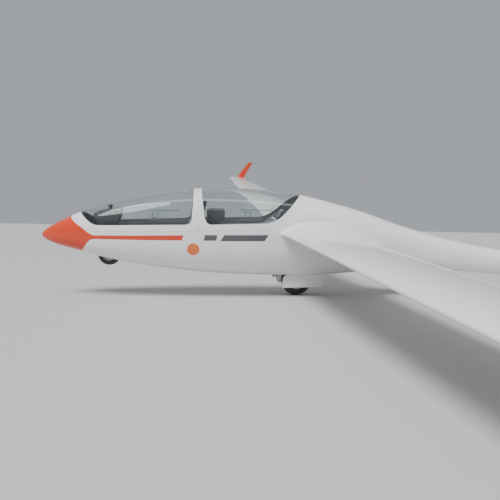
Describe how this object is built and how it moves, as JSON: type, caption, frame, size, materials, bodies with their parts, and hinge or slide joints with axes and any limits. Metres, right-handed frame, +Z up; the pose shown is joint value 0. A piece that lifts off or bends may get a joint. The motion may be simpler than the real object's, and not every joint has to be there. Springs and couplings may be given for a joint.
{
  "type": "sailplane glider",
  "caption": "Two-seat T-tail training sailplane with winglets and twin side-hinged canopies, parked on its main and tail wheels with the left wing tip down.",
  "frame": {"origin": "centre of the bounding box's footprint, on the ground", "axes": "+X forward (the nose points towards +X), +Y to the left wing tip, +Z up; the airframe is rolled 7 degrees about X, left wing down, as it parks"},
  "size_m": [8.66, 17.847, 2.7418],
  "materials": {
    "gelcoat_white": "gloss",
    "gelcoat_red": "gloss",
    "canopy_acrylic": "polished",
    "tyre_rubber": "matte",
    "wheel_alloy": "satin",
    "painted_steel": "satin",
    "liner_grey": "matte",
    "seat_fabric": "matte",
    "panel_black": "matte"
  },
  "bodies": {
    "airframe": {"tail_boom": "gelcoat_white", "cockpit_shell": "gelcoat_white", "wing_right": "gelcoat_white", "winglet_right": "gelcoat_red", "tip_skid_right": "panel_black", "wing_left": "gelcoat_white", "winglet_left": "gelcoat_red", "tip_skid_left": "panel_black", "tailplane": "gelcoat_white", "fin": "gelcoat_white", "main_gear_leg": "painted_steel", "nose_wheel_axle": "painted_steel", "tail_wheel_fork": "gelcoat_white", "tow_hook": "painted_steel", "seat_pan_front": "liner_grey", "seat_back_front": "liner_grey", "headrest_front": "seat_fabric", "seat_cushion_front": "seat_fabric", "control_stick_front": "painted_steel", "seat_pan_rear": "liner_grey", "seat_back_rear": "liner_grey", "headrest_rear": "seat_fabric", "seat_cushion_rear": "seat_fabric", "control_stick_rear": "painted_steel", "instrument_pod_front": "panel_black", "instrument_pod_rear": "panel_black", "pedestal_front": "panel_black", "pedestal_rear": "panel_black", "compass": "panel_black", "rudder_pedals_front": "painted_steel", "rudder_pedals_rear": "painted_steel", "console_right": "liner_grey", "console_left": "liner_grey"},
    "main_wheel": {"main_wheel_tyre": "tyre_rubber", "main_wheel_hub": "wheel_alloy"},
    "nose_wheel": {"nose_wheel_tyre": "tyre_rubber", "nose_wheel_hub": "wheel_alloy"},
    "tail_wheel": {"tail_wheel_tyre": "tyre_rubber", "tail_wheel_hub": "wheel_alloy"},
    "canopy_front": {"canopy_front_frame": "gelcoat_white", "canopy_front_glass": "canopy_acrylic"},
    "canopy_rear": {"canopy_rear_frame": "gelcoat_white", "canopy_rear_glass": "canopy_acrylic"},
    "gear_door_left": {"gear_door_left": "gelcoat_white"},
    "gear_door_right": {"gear_door_right": "gelcoat_white"},
    "aileron_left": {"aileron_left": "gelcoat_white"},
    "aileron_right": {"aileron_right": "gelcoat_white"},
    "elevator": {"elevator": "gelcoat_white"},
    "rudder": {"rudder": "gelcoat_white"},
    "airbrake_left": {"airbrake_left": "gelcoat_white"},
    "airbrake_right": {"airbrake_right": "gelcoat_white"}
  },
  "joints": [
    {"name": "canopy_front_hinge", "type": "hinge", "parent": "airframe", "child": "canopy_front", "pos_m": [2.85, -0.44338, 0.8595], "axis": [0.9984, 0.0462, -0.0335], "range_deg": [0, 80]},
    {"name": "canopy_rear_hinge", "type": "hinge", "parent": "airframe", "child": "canopy_rear", "pos_m": [2.13, -0.46049, 0.86779], "axis": [1, 0, 0], "range_deg": [0, 75]},
    {"name": "gear_door_left_hinge", "type": "hinge", "parent": "airframe", "child": "gear_door_left", "pos_m": [1.303, -0.01018, 0.27661], "axis": [-0.9996, 0.0034, 0.0273], "range_deg": [-15, 12]},
    {"name": "gear_door_right_hinge", "type": "hinge", "parent": "airframe", "child": "gear_door_right", "pos_m": [1.303, -0.29008, 0.31098], "axis": [0.9996, -0.0034, -0.0273], "range_deg": [-15, 12]},
    {"name": "aileron_right_hinge", "type": "hinge", "parent": "airframe", "child": "aileron_right", "pos_m": [0.79126, -4.93026, 1.55394], "axis": [0.0773, -0.9814, 0.1756], "range_deg": [-18, 18]},
    {"name": "aileron_left_hinge", "type": "hinge", "parent": "airframe", "child": "aileron_left", "pos_m": [0.79126, 4.79286, 0.36009], "axis": [0.0773, 0.9948, -0.067], "range_deg": [-18, 18]},
    {"name": "elevator_hinge", "type": "hinge", "parent": "airframe", "child": "elevator", "pos_m": [-4.1, 0.02376, 1.71005], "axis": [0, -0.9925, 0.1219], "range_deg": [-22, 18]},
    {"name": "rudder_hinge", "type": "hinge", "parent": "airframe", "child": "rudder", "pos_m": [-3.986, -0.1599, 0.21428], "axis": [-0.0793, 0.1215, 0.9894], "range_deg": [-28, 28]},
    {"name": "airbrake_right_slide", "type": "slide", "parent": "airframe", "child": "airbrake_right", "axis": [-0.1132, 0.1679, 0.9793], "range_m": [0, 0.11]},
    {"name": "airbrake_left_slide", "type": "slide", "parent": "airframe", "child": "airbrake_left", "axis": [-0.1132, 0.074, 0.9908], "range_m": [0, 0.11]},
    {"name": "main_wheel_spin", "type": "hinge", "parent": "airframe", "child": "main_wheel", "pos_m": [1.303, -0.16294, 0.18947], "axis": [0, -0.9925, 0.1219], "continuous": true},
    {"name": "nose_wheel_spin", "type": "hinge", "parent": "airframe", "child": "nose_wheel", "pos_m": [3.582, -0.12589, 0.4912], "axis": [0, -0.9925, 0.1219], "continuous": true},
    {"name": "tail_wheel_spin", "type": "hinge", "parent": "airframe", "child": "tail_wheel", "pos_m": [-3.62, -0.17391, 0.10014], "axis": [0, -0.9925, 0.1219], "continuous": true}
  ],
  "couplings": [
    {"joint": "gear_door_right_hinge", "follows": "gear_door_left_hinge", "ratio": 1},
    {"joint": "aileron_left_hinge", "follows": "aileron_right_hinge", "ratio": 1},
    {"joint": "airbrake_left_slide", "follows": "airbrake_right_slide", "ratio": 1}
  ]
}
